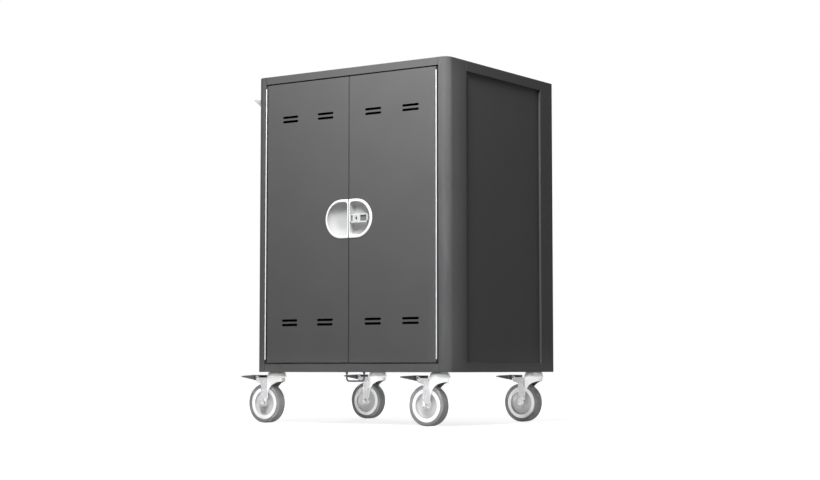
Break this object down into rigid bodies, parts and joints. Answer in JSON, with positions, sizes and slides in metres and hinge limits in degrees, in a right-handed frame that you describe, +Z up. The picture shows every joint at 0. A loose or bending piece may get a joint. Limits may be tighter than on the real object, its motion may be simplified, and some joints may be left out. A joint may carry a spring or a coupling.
{
  "type": "laptop charging cart",
  "caption": "Steel cabinet on braked swivel casters with two hinged front doors, a recessed turn handle, divided laptop bays and a rear door to the adapters.",
  "frame": {"origin": "on the floor under the middle of the whole object at rest, casters trailing to -X", "axes": "+Z up, -Y is the front with the two doors, +X is the cart's right side and its travel direction"},
  "size_m": [0.663, 0.5264, 0.906],
  "materials": {
    "cabinet_paint": "fine-textured dark grey powder coat",
    "hinge_steel": "bright plated steel",
    "white_plastic": "satin off-white moulding",
    "handle_zinc": "satin zinc casting",
    "zinc_plate": "bright zinc plate",
    "dark_steel": "dark coated rod",
    "grip_plastic": "pale grey moulded grip",
    "rack_plastic": "dark moulded dividers",
    "black_plastic": "black moulding with a fine grain",
    "wheel_plastic": "pale grey moulded wheel centre",
    "tyre_rubber": "mid grey non-marking tread"
  },
  "bodies": {
    "cabinet": {"base_pan": "cabinet_paint", "top_panel": "cabinet_paint", "front_left_post": "cabinet_paint", "front_right_post": "cabinet_paint", "rear_left_post": "cabinet_paint", "rear_right_post": "cabinet_paint", "left_side_panel": "cabinet_paint", "right_side_panel": "cabinet_paint", "middle_shelf": "cabinet_paint", "cable_partition": "cabinet_paint", "left_hinge_frame_leaf": "hinge_steel", "left_hinge_pin": "hinge_steel", "right_hinge_frame_leaf": "hinge_steel", "right_hinge_pin": "hinge_steel", "rear_hinge_pin": "hinge_steel", "front_left_caster_head": "zinc_plate", "front_right_caster_head": "zinc_plate", "rear_left_caster_head": "zinc_plate", "rear_right_caster_head": "zinc_plate", "tether_loop": "dark_steel", "push_handle": "grip_plastic", "upper_divider_rack": "rack_plastic", "lower_divider_rack": "rack_plastic", "power_strip": "black_plastic", "charge_controller": "black_plastic", "mains_inlet": "black_plastic"},
    "left_door": {"left_door": "cabinet_paint", "left_handle_cup": "white_plastic", "left_hinge_door_leaf": "hinge_steel"},
    "right_door": {"right_door": "cabinet_paint", "right_handle_cup": "white_plastic", "right_hinge_door_leaf": "hinge_steel"},
    "turn_handle": {"turn_handle": "handle_zinc", "lock_cam": "zinc_plate"},
    "lock_plug": {"lock_plug": "handle_zinc"},
    "rear_door": {"rear_door": "cabinet_paint"},
    "rear_lock": {"rear_lock": "zinc_plate"},
    "power_switch": {"power_switch": "black_plastic"},
    "front_left_fork": {"front_left_caster_fork": "zinc_plate", "front_left_axle": "zinc_plate"},
    "front_left_wheel": {"front_left_wheel": "wheel_plastic", "front_left_tyre": "tyre_rubber"},
    "front_left_brake": {"front_left_brake_pedal": "black_plastic"},
    "front_right_fork": {"front_right_caster_fork": "zinc_plate", "front_right_axle": "zinc_plate"},
    "front_right_wheel": {"front_right_wheel": "wheel_plastic", "front_right_tyre": "tyre_rubber"},
    "front_right_brake": {"front_right_brake_pedal": "black_plastic"},
    "rear_left_fork": {"rear_left_caster_fork": "zinc_plate", "rear_left_axle": "zinc_plate"},
    "rear_left_wheel": {"rear_left_wheel": "wheel_plastic", "rear_left_tyre": "tyre_rubber"},
    "rear_left_brake": {"rear_left_brake_pedal": "black_plastic"},
    "rear_right_fork": {"rear_right_caster_fork": "zinc_plate", "rear_right_axle": "zinc_plate"},
    "rear_right_wheel": {"rear_right_wheel": "wheel_plastic", "rear_right_tyre": "tyre_rubber"},
    "rear_right_brake": {"rear_right_brake_pedal": "black_plastic"}
  },
  "joints": [
    {"name": "left_door_swing", "type": "hinge", "parent": "cabinet", "child": "left_door", "pos_m": [-0.236, -0.26075, 0.5196], "axis": [0, 0, -1], "range_deg": [0, 180]},
    {"name": "right_door_swing", "type": "hinge", "parent": "cabinet", "child": "right_door", "pos_m": [0.299, -0.26075, 0.5196], "axis": [0, 0, 1], "range_deg": [0, 180]},
    {"name": "handle_turn", "type": "hinge", "parent": "right_door", "child": "turn_handle", "pos_m": [0.0575, -0.258, 0.5196], "axis": [0, -1, 0], "range_deg": [0, 90]},
    {"name": "key_turn", "type": "hinge", "parent": "turn_handle", "child": "lock_plug", "pos_m": [0.0575, -0.258, 0.5196], "axis": [0, 1, 0], "range_deg": [0, 90]},
    {"name": "rear_door_swing", "type": "hinge", "parent": "cabinet", "child": "rear_door", "pos_m": [-0.236, 0.26075, 0.5451], "axis": [0, 0, 1], "range_deg": [0, 180]},
    {"name": "rear_lock_turn", "type": "hinge", "parent": "rear_door", "child": "rear_lock", "pos_m": [0.27325, 0.258, 0.5451], "axis": [0, 1, 0], "range_deg": [0, 90]},
    {"name": "power_switch_rock", "type": "hinge", "parent": "cabinet", "child": "power_switch", "pos_m": [-0.101, 0.254, 0.17], "axis": [1, 0, 0], "range_deg": [0, 16]},
    {"name": "front_left_swivel", "type": "hinge", "parent": "cabinet", "child": "front_left_fork", "pos_m": [-0.2235, -0.227, 0.118], "axis": [0, 0, 1], "continuous": true},
    {"name": "front_left_roll", "type": "hinge", "parent": "front_left_fork", "child": "front_left_wheel", "pos_m": [-0.256, -0.227, 0.0508], "axis": [0, 1, 0], "continuous": true},
    {"name": "front_left_brake_press", "type": "hinge", "parent": "front_left_fork", "child": "front_left_brake", "pos_m": [-0.2775, -0.227, 0.1185], "axis": [0, -1, 0], "range_deg": [0, 12]},
    {"name": "front_right_swivel", "type": "hinge", "parent": "cabinet", "child": "front_right_fork", "pos_m": [0.2865, -0.227, 0.118], "axis": [0, 0, 1], "continuous": true},
    {"name": "front_right_roll", "type": "hinge", "parent": "front_right_fork", "child": "front_right_wheel", "pos_m": [0.254, -0.227, 0.0508], "axis": [0, 1, 0], "continuous": true},
    {"name": "front_right_brake_press", "type": "hinge", "parent": "front_right_fork", "child": "front_right_brake", "pos_m": [0.2325, -0.227, 0.1185], "axis": [0, -1, 0], "range_deg": [0, 12]},
    {"name": "rear_left_swivel", "type": "hinge", "parent": "cabinet", "child": "rear_left_fork", "pos_m": [-0.2235, 0.227, 0.118], "axis": [0, 0, 1], "continuous": true},
    {"name": "rear_left_roll", "type": "hinge", "parent": "rear_left_fork", "child": "rear_left_wheel", "pos_m": [-0.256, 0.227, 0.0508], "axis": [0, 1, 0], "continuous": true},
    {"name": "rear_left_brake_press", "type": "hinge", "parent": "rear_left_fork", "child": "rear_left_brake", "pos_m": [-0.2775, 0.227, 0.1185], "axis": [0, -1, 0], "range_deg": [0, 12]},
    {"name": "rear_right_swivel", "type": "hinge", "parent": "cabinet", "child": "rear_right_fork", "pos_m": [0.2865, 0.227, 0.118], "axis": [0, 0, 1], "continuous": true},
    {"name": "rear_right_roll", "type": "hinge", "parent": "rear_right_fork", "child": "rear_right_wheel", "pos_m": [0.254, 0.227, 0.0508], "axis": [0, 1, 0], "continuous": true},
    {"name": "rear_right_brake_press", "type": "hinge", "parent": "rear_right_fork", "child": "rear_right_brake", "pos_m": [0.2325, 0.227, 0.1185], "axis": [0, -1, 0], "range_deg": [0, 12]}
  ]
}
